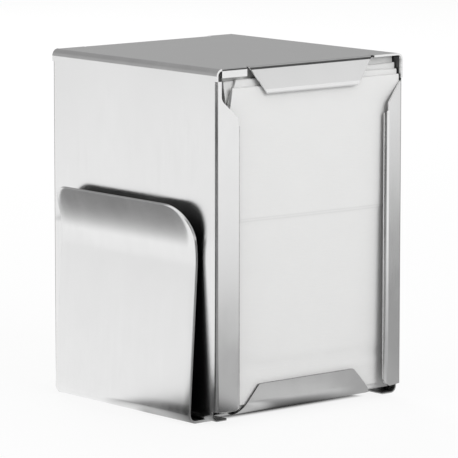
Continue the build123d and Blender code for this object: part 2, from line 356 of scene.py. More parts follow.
@dataclass(frozen=True)
class SatinSteel(Finish):
    """Stainless sheet with fine brushed lines, faint streaks and the slight waves of bent sheet.

    Its marks are streaks, waves and smudges, and for the roughness the brushed lines too.

    Attributes:
        grain: Which way the lines cross on most of the piece.
        strip: True for the box, whose lines follow the sheet round its walls and roof.
        painted_shade_side: Which side of the sheet gets painted shade, darker as if little light
            reaches it, and the mill side's extra roughness.
        line_pitch: From one brushed line to the next.
        line_depth: How deep the lines are.
        streak_pitch: From one faint streak to the next.
        wave_length: From one slight wave in the sheet to the next.
        wave_depth: How deep the waves are.
        smudges: How many smudges there are to each wave along X, Y and Z.
        tab_low: Above this height the sheet that faces a window is the roof's tab.
        facing_window: From where to where the sheet counts as facing a window, as a cosine.
        painted_shade_level: How bright the painted shade leaves that side, next to the brushed one.
        mill_roughness: How much more matt it is.
    """

    OTHERS: ClassVar[dict[str, float]] = {"Metallic": 1.0}

    shades: tuple[float, ...] = (0.04, 0.04, 0.12)
    matts: tuple[float, ...] = (0.03, 0.10, 0.12, 0.03)
    grain: Grain = Grain.ACROSS_X
    strip: bool = False
    painted_shade_side: PaintedShadeSide | None = None
    line_pitch: float = 0.13 * MM
    line_depth: float = 0.0004 * MM
    streak_pitch: float = 1.1 * MM
    wave_length: float = 24 * MM
    wave_depth: float = 0.05 * MM
    smudges: tuple[float, float, float] = (3.0, 3.0, 2.0)
    tab_low: float = 119 * MM
    facing_window: tuple[float, float] = (0.6, 0.8)
    painted_shade_level: float = 0.15
    mill_roughness: float = 0.22

    def lines(self, graph: Graph, place: Wire, pitch: float, detail: float) -> Wire:
        """Noise drawn out along the grain, about one wave to each pitch."""
        if not self.strip:
            return graph.noise(place, self.grain.over(pitch), detail)
        normal = graph.split(graph.coordinates("Normal"))
        facing_window = abs(normal[1]).smooth(*self.facing_window)
        is_tab = graph.split(place)[2].smooth(self.tab_low, self.tab_low + MM)
        wall, flange, tab = (
            graph.noise(place, grain.over(pitch), detail)
            for grain in (Grain.ACROSS_Y, Grain.ACROSS_X, Grain.ACROSS_Z)
        )
        return graph.mix(facing_window, wall, graph.mix(is_tab, flange, tab))

    def marks(self, graph: Graph) -> tuple[Wire, Wire, Wire]:
        """The steel's brightness, roughness and height."""
        place = graph.coordinates()
        fine = self.lines(graph, place, self.line_pitch, 3.0)
        streak = self.lines(graph, place, self.streak_pitch, 2.0)
        cloud = graph.noise(place, 1 / self.wave_length, 1.0)
        smudge = graph.noise(place, tuple(share / self.wave_length for share in self.smudges), 4.0)
        level = self.about(self.level, self.shades, streak, cloud, smudge)
        rough = self.about(self.roughness, self.matts, streak, cloud, smudge, fine)
        if self.painted_shade_side:
            # Painted shade: the inner side is made darker as if little light reaches it, and rougher
            # like the mill side
            mill_and_shade = self.painted_shade_side.mask(graph, place)
            level = level * (1 - (1 - self.painted_shade_level) * mill_and_shade)
            rough = rough + self.mill_roughness * mill_and_shade
        return level, rough, fine * self.line_depth + cloud * self.wave_depth


@dataclass(frozen=True)
class TurnedSteel(Finish):
    """Steel turned on a lathe, with rings about the two spring axes.

    Its marks are its worn places.

    Attributes:
        axis_x: Where both axes are along X.
        middle_z: The height half way between them.
        half_spacing: From there to each axis.
        ring_pitch: From one tool mark to the next.
        ring_depth: How deep the tool marks are.
        ring_shade: How much they change the brightness.
        wobble: How far they wander, as an angle of their wave.
        wobbles: How often they do, in a metre.
        worn_places: How many worn places there are in a metre.
    """

    OTHERS: ClassVar[dict[str, float]] = {"Metallic": 1.0}

    level: float = 0.94
    shades: tuple[float, ...] = (0.12,)
    matts: tuple[float, ...] = (0.12,)
    axis_x: float = 0.0
    middle_z: float = 0.0
    half_spacing: float = 0.0
    ring_pitch: float = 0.25 * MM
    ring_depth: float = 0.004 * MM
    ring_shade: float = 0.02
    wobble: float = 2.0
    wobbles: float = 900.0
    worn_places: float = 160.0

    def marks(self, graph: Graph) -> tuple[Wire, Wire, Wire]:
        """The turned steel's brightness, roughness and height."""
        place = graph.coordinates()
        x, _, z = graph.split(place)
        radius = (x - self.axis_x).diagonal(abs(z - self.middle_z) - self.half_spacing)
        wobble = graph.noise(place, self.wobbles) * self.wobble
        ring = (radius * (2 * math.pi / self.ring_pitch) + wobble).math("SINE")
        worn = graph.noise(place, self.worn_places, 3.0)
        level = self.about(self.level, self.shades, worn) + self.ring_shade * ring
        return level, self.about(self.roughness, self.matts, worn), ring * self.ring_depth


@dataclass(frozen=True)
class SpringWire(Finish):
    """Drawn spring wire, with faint lines round its coils and a grey film that varies among them.

    Its marks are the lines and the film.

    Attributes:
        lines: How many lines there are in a metre along X, Y and Z.
        line_depth: How deep they are.
        films: How many patches of film there are in a metre.
    """

    OTHERS: ClassVar[dict[str, float]] = {"Metallic": 1.0}

    level: float = 0.94
    shades: tuple[float, ...] = (0.12, 0.12)
    matts: tuple[float, ...] = (0.08, 0.14)
    lines: tuple[float, float, float] = (240.0, 5200.0, 240.0)
    line_depth: float = 0.006 * MM
    films: float = 220.0

    def marks(self, graph: Graph) -> tuple[Wire, Wire, Wire]:
        """The wire's brightness, roughness and height."""
        place = graph.coordinates()
        drawn, film = graph.noise(place, self.lines, 3.0), graph.noise(place, self.films)
        level = self.about(self.level, self.shades, drawn, film)
        rough = self.about(self.roughness, self.matts, drawn, film)
        return level, rough, drawn * self.line_depth


@dataclass(frozen=True)
class Tissue(Finish):
    """Soft white tissue: fine crepe lines across the sheet, loose fibres and faint cloudy thin places.

    Its marks are the thin places, the fibres and the crepe lines.

    Attributes:
        crepe_pitch: From one crepe line to the next.
        crepe_depth: How deep the lines are.
        crepe_ends: How many of them end across the sheet, for each one along it.
        fibres: How many fibres there are in a metre, across the sheet and along it.
        fibre_depth: How deep they are, next to the lines.
        fibre_matt: How much less matt they are.
        clouds: How many thin places there are in a metre, across the sheet and along it.
        cut: The sheet's length, to its cut edge.
        cut_edge_shade_width: How far from the cut edge the tissue is painted greyer, as a painted shade
            line along the edge.
        cut_edge_painted_shade: How much greyer the painted shade makes it.
    """

    OTHERS: ClassVar[dict[str, float]] = {"Specular IOR Level": 0.2, "Sheen Weight": 0.15}

    level: float = 0.99
    shades: tuple[float, ...] = (0.03, 0.02, 0.02)
    crepe_pitch: float = 0.7 * MM
    crepe_depth: float = 0.035 * MM
    crepe_ends: float = 0.16
    fibres: tuple[float, float] = (2600.0, 1900.0)
    fibre_depth: float = 0.4
    fibre_matt: float = 0.06
    clouds: tuple[float, float] = (70.0, 90.0)
    cut: float = SHEET_LENGTH
    cut_edge_shade_width: float = 0.7 * MM
    cut_edge_painted_shade: float = 0.06

    def marks(self, graph: Graph) -> tuple[Wire, Wire, Wire]:
        """The tissue's brightness, roughness and height."""
        flat = graph.node("ShaderNodeUVMap", {"uv_map": "paper"})
        lines = 1 / self.crepe_pitch
        crepe, fibre, cloud = (
            graph.noise(flat, (*stretch, 1.0), 3.0)
            for stretch in ((lines * self.crepe_ends, lines), self.fibres, self.clouds)
        )
        # Painted shade: a greyer line along the cut edge, where the flap's edge would cast its shade
        edge = graph.split(flat)[1].smooth(self.cut - self.cut_edge_shade_width, self.cut)
        level = self.about(self.level, self.shades, cloud, fibre, crepe) * (1 - self.cut_edge_painted_shade * edge)
        rough = self.roughness - self.fibre_matt * fibre
        return level, rough, (crepe + fibre * self.fibre_depth) * self.crepe_depth


@dataclass(frozen=True)
class Rubber(Finish):
    """Matt black rubber with a fine moulded grain and a dusty bloom, which is its mark.

    Attributes:
        grains: How many grains there are in a metre.
        grain_depth: How deep they are.
        blooms: How many patches of bloom there are in a metre.
    """

    level: float = 1.05
    shades: tuple[float, ...] = (0.5,)
    matts: tuple[float, ...] = (0.14,)
    grains: float = 2200.0
    grain_depth: float = 0.02 * MM
    blooms: float = 240.0

    def marks(self, graph: Graph) -> tuple[Wire, Wire, Wire]:
        """The rubber's brightness, roughness and height."""
        place = graph.coordinates()
        grain, bloom = graph.noise(place, self.grains), graph.noise(place, self.blooms, 3.0)
        level = self.about(self.level, self.shades, bloom)
        rough = self.about(self.roughness, self.matts, bloom)
        return level, rough, grain * self.grain_depth


def add_piece(name: str, mesh: bpy.types.Mesh, material: bpy.types.Material) -> bpy.types.Object:
    """Puts a mesh into the scene as an object at the origin, with its material."""
    piece = bpy.data.objects.new(name, mesh)
    mesh.materials.clear()
    mesh.materials.append(material)
    bpy.context.scene.collection.objects.link(piece)
    return piece


def settle(piece: bpy.types.Object) -> bpy.types.Object:
    """Turns a piece's modifiers into its plain mesh."""
    evaluated = piece.evaluated_get(bpy.context.evaluated_depsgraph_get())
    mesh = bpy.data.meshes.new_from_object(evaluated)
    piece.modifiers.clear()
    piece.data = mesh
    mesh.name = piece.name
    return piece


def joint(name: str) -> dict[str, object]:
    """What the CAD model says of one joint."""
    return next(row for row in frame["joints"] if row["name"] == name)


class Form(Graph):
    """A Geometry Nodes tree with named inputs, which makes a plain mesh from their values."""

    KINDS = {int: "NodeSocketInt", float: "NodeSocketFloat", tuple: "NodeSocketVector"}

    def __init__(self, name: str, inputs: dict[str, float | int | tuple]) -> None:
        """Makes the tree and its inputs.

        Args:
            name: The tree's name.
            inputs: Each input's name and first value.
        """
        super().__init__(bpy.data.node_groups.new(name, "GeometryNodeTree"))
        interface = self.tree.interface
        interface.new_socket("Geometry", in_out="OUTPUT", socket_type="NodeSocketGeometry")
        for label, value in inputs.items():
            socket = interface.new_socket(label, in_out="INPUT", socket_type=self.KINDS[type(value)])
            socket.default_value = value
        interface.new_socket("Material", in_out="INPUT", socket_type="NodeSocketMaterial")
        self.given = self.tree.nodes.new("NodeGroupInput")

    def __getitem__(self, label: str) -> Wire:
        """The input of that name."""
        return Wire(self, self.given.outputs[label])

    def close(self, geometry: Wire) -> None:
        """Ends the tree: what it made becomes real geometry with its material."""
        real = self.node("GeometryNodeRealizeInstances", None, {0: geometry})
        inputs = {"Geometry": real, "Material": self["Material"]}
        dressed = self.node("GeometryNodeSetMaterial", None, inputs)
        self.node("NodeGroupOutput", None, {0: dressed})

    def make(self, name: str, material: bpy.types.Material, **values: Value) -> bpy.types.Object:
        """Runs the tree once.

        Args:
            name: The new piece's name.
            material: Its material.
            values: The inputs that differ from their first values. An underscore stands for a space.

        Returns:
            The piece, a plain mesh at the origin.
        """
        piece = bpy.data.objects.new(name, bpy.data.meshes.new(name))
        bpy.context.scene.collection.objects.link(piece)
        modifier = piece.modifiers.new(name, "NODES")
        modifier.node_group = self.tree
        sockets = {
            item.name: item.identifier
            for item in self.tree.interface.items_tree
            if item.item_type == "SOCKET" and item.in_out == "INPUT"
        }
        modifier[sockets["Material"]] = material
        for label, value in values.items():
            modifier[sockets[label.replace("_", " ")]] = value
        return settle(piece)


@dataclass
class SteelBody:
    """The folded box and the sheet, turned and rubber parts in it, as the CAD model shapes them.

    Attributes:
        box_steel: The folded box's finish.
        plate_steel: The floor plate's.
        inner_steel: That of the divider and the pushers.
        turned_steel: That of the spring seats and rivets.
        rubber: The feet's.
    """

    box_steel: SatinSteel
    plate_steel: SatinSteel
    inner_steel: SatinSteel
    turned_steel: TurnedSteel
    rubber: Rubber

    def dress(self) -> None:
        """Gives each CAD node its finish."""
        wearing = {
            self.box_steel: ["shell"],
            self.plate_steel: ["floor_plate"],
            self.inner_steel: ["divider", "front_pusher", "rear_pusher"],
            self.turned_steel: [n for n in frame["nodes"] if n.endswith(("_seat", "_rivets"))],
            self.rubber: ["rubber_feet"],
        }
        for finish, nodes in wearing.items():
            material = finish.material()
            for node in nodes:
                slots = frame["nodes"][node].data.materials
                slots.clear()
                slots.append(material)
                log.info("%s: %s", node, finish.name)


@dataclass
class CardClip:
    """The springy card clip, one bent sheet from its flared top edge to its foot under the box.

    Attributes:
        finish: Its steel.
        sheet: The sheet's thickness.
        front_corner: The radius of its top corner near the front.
        rear_corner: The radius of its top corner near the rear.
        flare: How far its top edge turns out, in degrees.
        flare_radius: The radius of that turn, on the outside.
        slope: How far the leaf slopes outwards on its way down, in degrees.
        bend: The outside radius of its bottom bend.
        rim: How far its cut edges are rounded.
        flex: How far the sheet bends below the hinge and above it.
    """

    finish: SatinSteel
    sheet: float = 1.0 * MM
    front_corner: float = 14.0 * MM
    rear_corner: float = 7.0 * MM
    flare: float = 25.0
    flare_radius: float = 46.0 * MM
    slope: float = 3.6
    bend: float = 3.5 * MM
    rim: float = 0.28 * MM
    flex: tuple[float, float] = (2.4 * MM, 3.0 * MM)

    def middle_line(self) -> Iterator[tuple[float, Vector, Vector]]:
        """Follows the sheet's middle from the top edge to the end of the foot.

        Returns:
            For each step: the way along the sheet, the point, and the unit vector wallwards.
        """
        leaf_low, leaf_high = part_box("clip_leaf")
        foot_low, foot_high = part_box("clip_foot")
        flare, slope = math.radians(self.flare), math.radians(self.slope)
        outer, inner = self.flare_radius + self.sheet / 2, self.bend - self.sheet / 2
        top = leaf_high.z - self.sheet * math.sin(flare)
        bend_z = foot_low.z + self.bend * (1 + math.sin(slope))
        drop = self.flare_radius * (math.sin(flare) + math.sin(slope))
        straight = (top - bend_z - drop) / math.cos(slope)
        centre_x = leaf_low.x - self.flare_radius * math.cos(flare)
        flare_centre = Vector((centre_x, 0, top - self.flare_radius * math.sin(flare)))
        along = 0.0
        steps, leaf_steps, bend_steps = 26, 14, 12
        for step in range(steps + 1):
            turn = flare - (flare + slope) * step / steps
            wallwards = Vector((math.cos(turn), 0, math.sin(turn)))
            yield along, flare_centre + wallwards * outer, wallwards
            along += outer * (flare + slope) / steps
        along -= outer * (flare + slope) / steps
        neck = flare_centre + wallwards * outer
        down = Vector((-math.sin(slope), 0, -math.cos(slope)))
        for step in range(1, leaf_steps + 1):
            past = straight * step / leaf_steps
            yield along + past, neck + down * past, wallwards
        along += straight
        bend_centre = neck + down * straight + wallwards * inner
        turning = math.pi / 2 + slope
        for step in range(1, bend_steps + 1):
            turned = turning * step / bend_steps
            inwards = Vector((math.cos(turned - slope), 0, math.sin(turned - slope)))
            yield along + inner * turned, bend_centre - inwards * inner, inwards
        along += inner * turning
        end = bend_centre - inwards * inner
        yield along + foot_high.x - end.x, Vector((foot_high.x, 0, end.z)), inwards

    @staticmethod
    def cut_back(along: float, corner: float) -> float:
        """How far a rounded corner takes the sheet's side in, at a way along from its top edge."""
        into = max(corner - along, 0.0)
        return corner - math.sqrt(max(corner**2 - into**2, 0.0))

    def build(self) -> bpy.types.Object:
        """Makes the clip. The real clip bends at its foot as the leaf is pushed away from the wall;
        here the hinge and the reach below and above it are read but not used.
        """
        low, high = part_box("clip_leaf")
        columns = 24
        points, faces = [], []
        rows = list(self._rows())
        for along, point, _ in rows:
            start = low.y + self.cut_back(along, self.front_corner)
            end = high.y - self.cut_back(along, self.rear_corner)
            steps = [start + (end - start) * c / columns for c in range(columns + 1)]
            points += [point + Vector((0, step, 0)) for step in steps]
        for r in range(len(rows) - 1):
            for c in range(columns):
                first = r * (columns + 1) + c
                faces.append((first, first + 1, first + columns + 2, first + columns + 1))
        mesh = bpy.data.meshes.new("card_clip")
        mesh.from_pydata(points, [], faces)
        clip = add_piece("card_clip", mesh, self.finish.material())
        thick = clip.modifiers.new("thickness", "SOLIDIFY")
        thick.thickness, thick.offset, thick.use_even_offset = self.sheet, 0.0, True
        edge = clip.modifiers.new("rim", "BEVEL")
        edge.width, edge.segments, edge.limit_method = self.rim, 3, "ANGLE"
        edge.angle_limit = math.radians(40)
        settle(clip)
        clip.data.shade_smooth()
        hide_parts("clip_leaf", "clip_foot")
        hinge = Vector(joint("clip_flex")["pos_m"])
        below, above = hinge - Vector((0, 0, self.flex[0])), hinge + Vector((0, 0, self.flex[1]))
        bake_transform(clip)
        log.info("card_clip: %d faces", len(clip.data.polygons))
        return clip

    def _rows(self) -> Iterator[tuple[float, Vector, Vector]]:
        """The middle line, with rows close together where the corners are round."""
        line = list(self.middle_line())
        steps, largest = 18, max(self.front_corner, self.rear_corner)
        for step in range(steps + 1):
            along = largest * (1 - math.cos(math.pi / 2 * step / steps))
            before = max(i for i, row in enumerate(line) if row[0] <= along + 1e-9)
            after = min(before + 1, len(line) - 1)
            gap = line[after][0] - line[before][0]
            share = (along - line[before][0]) / gap if gap else 0.0
            yield along, line[before][1].lerp(line[after][1], share), line[before][2]
        yield from (row for row in line if row[0] > largest + 0.5 * MM)


@dataclass
class NapkinStacks:
    """Both stacks of paper napkins, each a square sheet folded lengthwise and then down over itself.

    Attributes:
        finish: The tissue.
        across: The sheet's width, which is folded in half.
        cut: The sheet's length, which is folded down over itself.
        count: How many napkins stand in each stack.
        loose: How many of them have a CAD node of their own.
        pitch: From one napkin to the next.
        ply: How thick the tissue is.
        ply_gap: Between the two leaves of the lengthwise fold, middle to middle.
        fold_gap: Between the standing half and the flap, middle to middle.
        thick: How thick the first napkin is.
        lean: How far it leans towards the window, in degrees. The last one stands upright.
        bulge: How far the first napkin swells out of the window.
        swell_share: How much of one napkin's swelling the next one keeps.
        wave: How deep its slight waves are.
        waves: How many there are in a metre along X, Y and Z.
        wave_shift: How far one napkin's waves lie from the next one's in the same noise.
        rear_shift: How many napkins further the rear stack's waves lie.
        wave_low: Between which heights the waves grow in.
        flap_press: How much of the fold's gap is left where the flap is pressed flat.
        press_below: From where to where below the fold the flap comes to be pressed.
        skews: How far out of square the first folds are, as a slope. The others follow in turn.
        rises: How far the first ones stand above their CAD solids. The last value is for the rest too.
        tucks: How far the upper left corners of the first ones are pushed in, the last as in rises.
        tuck_size: How far the tuck reaches across and down.
        window: Half the width that swells.
        crease_low: How high the crease over the floor tab lies.
        crease_soft: How wide the crease's lower and upper sides are.
        crease_wander: How far it wanders up and down.
        crease_share: How deep it is, next to the swelling.
        swell_low: Where the swelling starts, above the floor tab.
        swell_high: Where it ends, below the roof tab.
        swell_soft: How far it takes to grow above the one and to fade below the other.
    """

    finish: Tissue
    across: float = 167.0 * MM
    cut: float = SHEET_LENGTH
    count: int = 18
    loose: int = 4
    pitch: float = 1.2 * MM
    ply: float = 0.11 * MM
    ply_gap: float = 0.30 * MM
    fold_gap: float = 0.60 * MM
    thick: float = 1.15 * MM
    lean: float = 1.05
    bulge: float = 0.55 * MM
    flap_press: float = 0.6
    press_below: tuple[float, float] = (1.5 * MM, 14 * MM)
    swell_share: float = 0.82
    wave: float = 0.30 * MM
    waves: tuple[float, float, float] = (22.0, 22.0, 26.0)
    wave_shift: float = 1.5 * MM
    rear_shift: float = 40.0
    wave_low: tuple[float, float] = (5 * MM, 14 * MM)
    skews: tuple[float, ...] = (0.005, 0.017, -0.016, 0.002, 0.0, -0.004, 0.003)
    rises: tuple[float, ...] = (0.0, 0.0, 0.0, 0.55 * MM)
    tucks: tuple[float, ...] = (1.0 * MM, 3.6 * MM, -1.2 * MM, -1.2 * MM)
    tuck_size: tuple[float, float] = (30 * MM, 9 * MM)
    window: float = 40.0 * MM
    crease_low: float = 18.0 * MM
    crease_soft: tuple[float, float] = (1.4 * MM, 4.2 * MM)
    crease_wander: float = 12.0 * MM
    crease_share: float = 1.1
    swell_low: float = 13.0 * MM
    swell_high: float = 121.0 * MM
    swell_soft: tuple[float, float] = (5 * MM, 12 * MM)

    def form(self) -> Form:
        """The rule that folds a flat grid into a napkin."""
        form = Form(
            "folded_napkin",
            {
                "Columns": 81, "Rows": 91, "Across": self.across, "Cut": self.cut, "Height": 119.0 * MM,
                "Ply Gap": self.ply_gap, "Fold Gap": self.fold_gap, "Skew": 0.0, "Lean": 0.0,
                "Left": 0.0, "Depth": 0.0, "Bottom": 0.0, "Side": 1.0, "Bulge": 0.0, "Wave": self.wave,
                "Number": 0.0, "Tuck": 0.0,
            },
        )
        inputs = {0: 2.0, 1: 1.0, 2: form["Columns"], 3: form["Rows"]}
        grid = form.node("GeometryNodeMeshGrid", None, inputs)
        across, up, _ = form.split(form.node("GeometryNodeInputPosition"))
        leaf, turn = form["Ply Gap"] / 2, form["Fold Gap"] / 2
        u, v = self._spread(form, across, up + 0.5)
        flat = form.node(
            "GeometryNodeStoreNamedAttribute",
            {"data_type": "FLOAT2", "domain": "CORNER"},
            {"Geometry": grid, "Name": "paper", "Value": form.combine(u, v, 0.0)},
        )
        # The lengthwise fold, at the napkin's left edge
        quarter = math.pi / 2
        angle = (u / leaf).between(-quarter, quarter)
        x = leaf * (1 - angle.math("COSINE")) + (abs(u) - leaf * quarter).most(0.0)
        depth = leaf * angle.math("SINE")
        # The fold over the top, whose line may be out of square
        height = form["Height"] - form["Skew"] * (x - form["Across"] / 4)
        radius = turn + depth
        start = height - turn - leaf
        past = v - start
        angle = (past / radius).between(0.0, math.pi)
        flap = (past - radius * math.pi).most(0.0)
        z = start + past.least(0.0) + radius * angle.math("SINE") - flap
        below = height - z
        pressed = (1 - self.flap_press) * below.smooth(*self.press_below)
        y = radius * angle.math("COSINE") * (1 - pressed)
        # Where it stands in the box, and how it swells
        tuck_across, tuck_down = self.tuck_size
        tuck = form["Tuck"] * below.smooth(tuck_down, 0.0) * x.smooth(tuck_across, 0.0)
        x = form["Left"] + x + tuck
        z_stand = form["Bottom"] + z
        swell = self._swell(form, x, z_stand)
        place = form["Depth"] + y - z * form["Lean"] - swell
        bent = form.combine(x, place * form["Side"], z_stand)
        moved = form.node("GeometryNodeSetPosition", None, {"Geometry": flat, "Position": bent})
        form.close(form.node("GeometryNodeSetShadeSmooth", None, {0: moved}))
        return form

    @staticmethod
    def _spread(form: Form, across: Wire, up: Wire) -> tuple[Wire, Wire]:
        """Spaces the grid's lines, close together where the sheet folds.

        Args:
            form: The tree.
            across: The grid's place from -1 to 1.
            up: The grid's place from 0 to 1.

        Returns:
            The place on the flat sheet, across and up.
        """
        # The middle 0.16 of the columns lie within 0.6 mm of the lengthwise fold
        near, share = 0.6 * MM, 0.16
        height, cut = form["Height"], form["Cut"]
        middle = across.between(-share, share)
        u = middle * (near / share) + (across - middle) * ((form["Across"] / 2 - near) / (1 - share))
        # The rows from 0.52 to 0.72 lie within 1.6 mm of the fold over the top
        fold_near, below, above = 1.6 * MM, 0.52, 0.72
        v = (
            (height - fold_near) * (up / below).between(0.0, 1.0)
            + 2 * fold_near * ((up - below) / (above - below)).between(0.0, 1.0)
            + (cut - height - fold_near) * ((up - above) / (1 - above)).between(0.0, 1.0)
        )
        return u, v

    def _swell(self, form: Form, x: Wire, z: Wire) -> Wire:
        """How far a point stands out towards the window."""
        low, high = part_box("front_napkin_1")
        aside = (x - (low.x + high.x) / 2) / self.window
        free = (1 - aside * aside).most(0.0)
        grow, fade = self.swell_soft
        tabs = z.smooth(self.swell_low, self.swell_low + grow)
        tabs = tabs * z.smooth(self.swell_high, self.swell_high - fade)
        place = form.combine(x, form["Number"] * self.wave_shift, z)
        wave = form.noise(place, self.waves, 1.5) - 0.5
        over = z + wave * self.crease_wander
        under, above = self.crease_soft
        crease = over.smooth(self.crease_low - under, self.crease_low)
        crease = crease * over.smooth(self.crease_low + above, self.crease_low)
        waves = form["Wave"] * wave * z.smooth(*self.wave_low)
        return form["Bulge"] * (free * tabs - crease * self.crease_share) + waves

    def build(self) -> None:
        """Makes all napkins."""
        form = self.form()
        material = self.finish.material()
        for side, sign in (("front", 1.0), ("rear", -1.0)):
            for number in range(self.count):
                self._make_one(form, material, side, sign, number)
            log.info("%s stack: %d napkins", side, self.count)

    def _make_one(
        self, form: Form, material: bpy.types.Material, side: str, sign: float, number: int
    ) -> None:
        """Makes one napkin.

        Args:
            form: The rule that folds it.
            material: Its tissue.
            side: The stack's name.
            sign: 1 in the front stack and -1 in the rear one.
            number: Its place, counted from the window.
        """
        is_loose = number < self.loose
        low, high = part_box(f"front_napkin_{min(number, self.loose - 1) + 1}")
        bottom = low.z if is_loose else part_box("front_napkin_stack")[0].z
        first_low, first_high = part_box("front_napkin_1")
        lean = math.sin(math.radians(self.lean * (1 - number / (self.count - 1))))
        columns, rows = (81, 91) if is_loose else (45, 51)
        piece = form.make(
            f"{side}_paper_napkin_{number + 1:02d}",
            material,
            Columns=columns,
            Rows=rows,
            Height=high.z - bottom + self.rises[min(number, self.loose - 1)],
            Skew=self.skews[number % len(self.skews)],
            Tuck=self.tucks[min(number, self.loose - 1)],
            Lean=lean,
            Left=first_low.x,
            Depth=first_high.y - self.thick / 2 + number * self.pitch,
            Bottom=bottom,
            Side=sign,
            Bulge=self.bulge * self.swell_share**number,
            Number=float(number) + (self.rear_shift if sign < 0 else 0.0),
        )
        thick = piece.modifiers.new("ply", "SOLIDIFY")
        thick.thickness, thick.offset = self.ply, 0.0
        settle(piece)
        piece.data.set_sharp_from_angle(angle=math.radians(50))
        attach(piece, "root")
        if is_loose:
            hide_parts(f"{side}_napkin_{number + 1}")
        elif number == self.loose:
            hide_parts(f"{side}_napkin_stack")


@dataclass
class SpringSet:
    """The four springs, wound with closed ends, each pressed by its pusher.

    Attributes:
        finish: The wire.
        wire: Its thickness.
        turns: How many open turns each spring has.
        end_turns: How many closed turns lie at each end.
        closed_pitch: From one closed turn to the next, in wires.
        flange: How thick the seats' flanges are.
        gap: From a flange to the spring's end.
    """

    finish: SpringWire
    wire: float = 0.9 * MM
    turns: int = 6
    end_turns: int = 1
    closed_pitch: float = 1.03
    flange: float = 0.8 * MM
    gap: float = 0.05 * MM

    def form(self) -> Form:
        """The rule that winds a spring along Y."""
        turns, turn_steps = self.turns + 2 * self.end_turns, 24
        form = Form(
            "closed_end_spring",
            {
                "Turns": float(turns), "End Turns": float(self.end_turns), "Steps": turn_steps * turns,
                "Radius": 5.5 * MM, "Wire": self.wire, "Length": 20.0 * MM, "Start": (0.0, 0.0, 0.0),
                "Side": 1.0,
            },
        )
        ends = {"Start": (0.0, 0.0, 0.0), "End": (0.0, 1.0, 0.0)}
        line = form.node("GeometryNodeCurvePrimitiveLine", None, ends)
        line = form.node("GeometryNodeResampleCurve", None, {"Curve": line, "Count": form["Steps"]})
        share = form.node("GeometryNodeSplineParameter", output="Factor")
        turn = share * form["Turns"]
        closed = turn * form["Wire"] * self.closed_pitch
        spare = form["Length"] - form["Wire"] - form["Turns"] * form["Wire"] * self.closed_pitch
        open_turns = form["Turns"] - form["End Turns"] * 2
        opened = ((turn - form["End Turns"]) / open_turns).between(0.0, 1.0)
        along = closed + spare * opened + form["Wire"] / 2
        angle = turn * (2 * math.pi)
        x, z = (form["Radius"] * angle.math(wave) for wave in ("COSINE", "SINE"))
        place = form.vector("ADD", form.combine(x, along * form["Side"], z), form["Start"])
        wound = form.node("GeometryNodeSetPosition", None, {"Geometry": line, "Position": place})
        circle = {"Resolution": 12, "Radius": form["Wire"] / 2}
        section = form.node("GeometryNodeCurvePrimitiveCircle", None, circle)
        inputs = {"Curve": wound, "Profile Curve": section, "Fill Caps": True}
        tube = form.node("GeometryNodeCurveToMesh", None, inputs)
        form.close(form.node("GeometryNodeSetShadeSmooth", None, {0: tube}))
        return form

    def build(self) -> None:
        """Makes the four springs."""
        form = self.form()
        material = self.finish.material()
        for side, sign in (("front", -1.0), ("rear", 1.0)):
            for level in ("lower", "upper"):
                node = f"{side}_{level}_spring"
                seat_low, seat_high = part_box(f"{side}_{level}_divider_seat")
                pusher_low, pusher_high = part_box(f"{side}_{level}_pusher_seat")
                seat, pusher = seat_low.y, pusher_high.y
                if sign < 0:
                    seat, pusher = seat_high.y, pusher_low.y
                inset = sign * (self.flange + self.gap)
                start, end = seat + inset, pusher - inset
                centre = (seat_low + seat_high) / 2
                radius = (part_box(node)[1].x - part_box(node)[0].x - self.wire) / 2
                spring = form.make(
                    f"{side}_{level}_coil_spring",
                    material,
                    Radius=radius,
                    Length=abs(end - start),
                    Start=(centre.x, start, centre.z),
                    Side=sign,
                )
                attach(spring, "root")
                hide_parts(node)
                keep = 1 - joint(f"{side}_pusher_slide")["range_m"][1] / abs(end - start)
                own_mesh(spring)
                log.info("%s: %d faces", spring.name, len(spring.data.polygons))


@dataclass(frozen=True)
class Card:
    """A soft-edged patch of the studio that only the steel mirrors.

    Attributes:
        level: How bright it is, from 0, black, to 1, white.
        around: From where to where it stands, in degrees: 0 is in front of the window, 90 on the
            right and 180 behind.
        reach: From where to where it lies: metres from the holder on the floor, or the sine of the
            height angle in the air.
        soft_around: How wide its soft sides are, in degrees.
        soft_reach: How wide its soft near and far edges are, as reach is given.
    """

    level: float
    around: tuple[float, float]
    reach: tuple[float, float]
    soft_around: float = 12.0
    soft_reach: float = 0.1

    def over(self, graph: Graph, under: Value, around: Wire, reach: Wire) -> Wire:
        """Lays the card over what is there.

        Args:
            graph: The tree.
            under: The brightness so far.
            around: The way round the holder, in degrees.
            reach: How far out or how high.

        Returns:
            The brightness with this card.
        """
        turn, out = self.soft_around / 2, self.soft_reach / 2
        start, end = self.around
        inner, outer = self.reach
        aside = abs((around - (start + end) / 2).math("WRAP", 180.0, -180.0))
        here = aside.smooth((end - start) / 2 + turn, (end - start) / 2 - turn)
        here = here * reach.smooth(inner - out, inner + out) * reach.smooth(outer + out, outer - out)
        return graph.mix(here, under, self.level)


